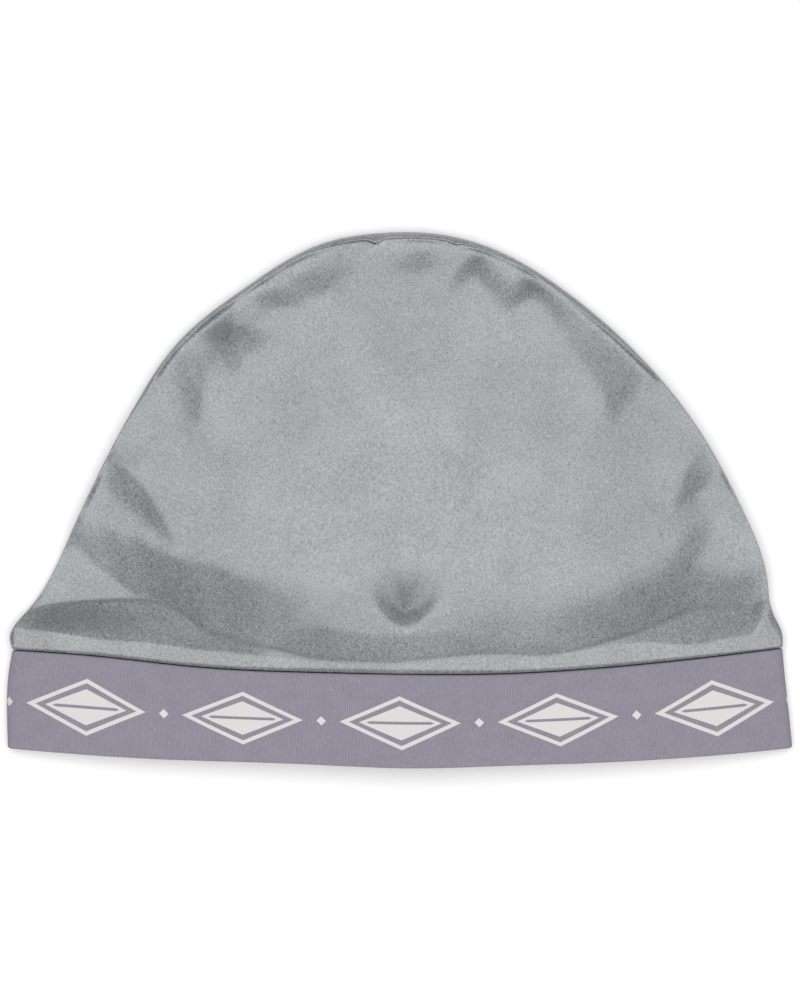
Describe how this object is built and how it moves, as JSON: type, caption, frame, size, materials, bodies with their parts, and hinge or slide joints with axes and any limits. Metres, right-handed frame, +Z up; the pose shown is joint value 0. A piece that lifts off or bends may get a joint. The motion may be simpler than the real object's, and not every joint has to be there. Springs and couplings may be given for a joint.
{
  "type": "wave cap",
  "caption": "Snug satin skull cap of two gathered panels on a doubled jersey band, lying flat on its back with the mouth open at its lower edge.",
  "frame": {"origin": "on the surface that the cap lies on, below the middle of its outline", "axes": "+X across the cap to the right as it is seen from above, +Y towards the top of the crown with the mouth at -Y, +Z up from the surface"},
  "size_m": [0.2513, 0.1708, 0.0136],
  "materials": {
    "satin": "satin",
    "jersey": "matt"
  },
  "bodies": {
    "root": {"crown_front": "satin", "crown_back": "satin", "band": "jersey"}
  },
  "joints": []
}
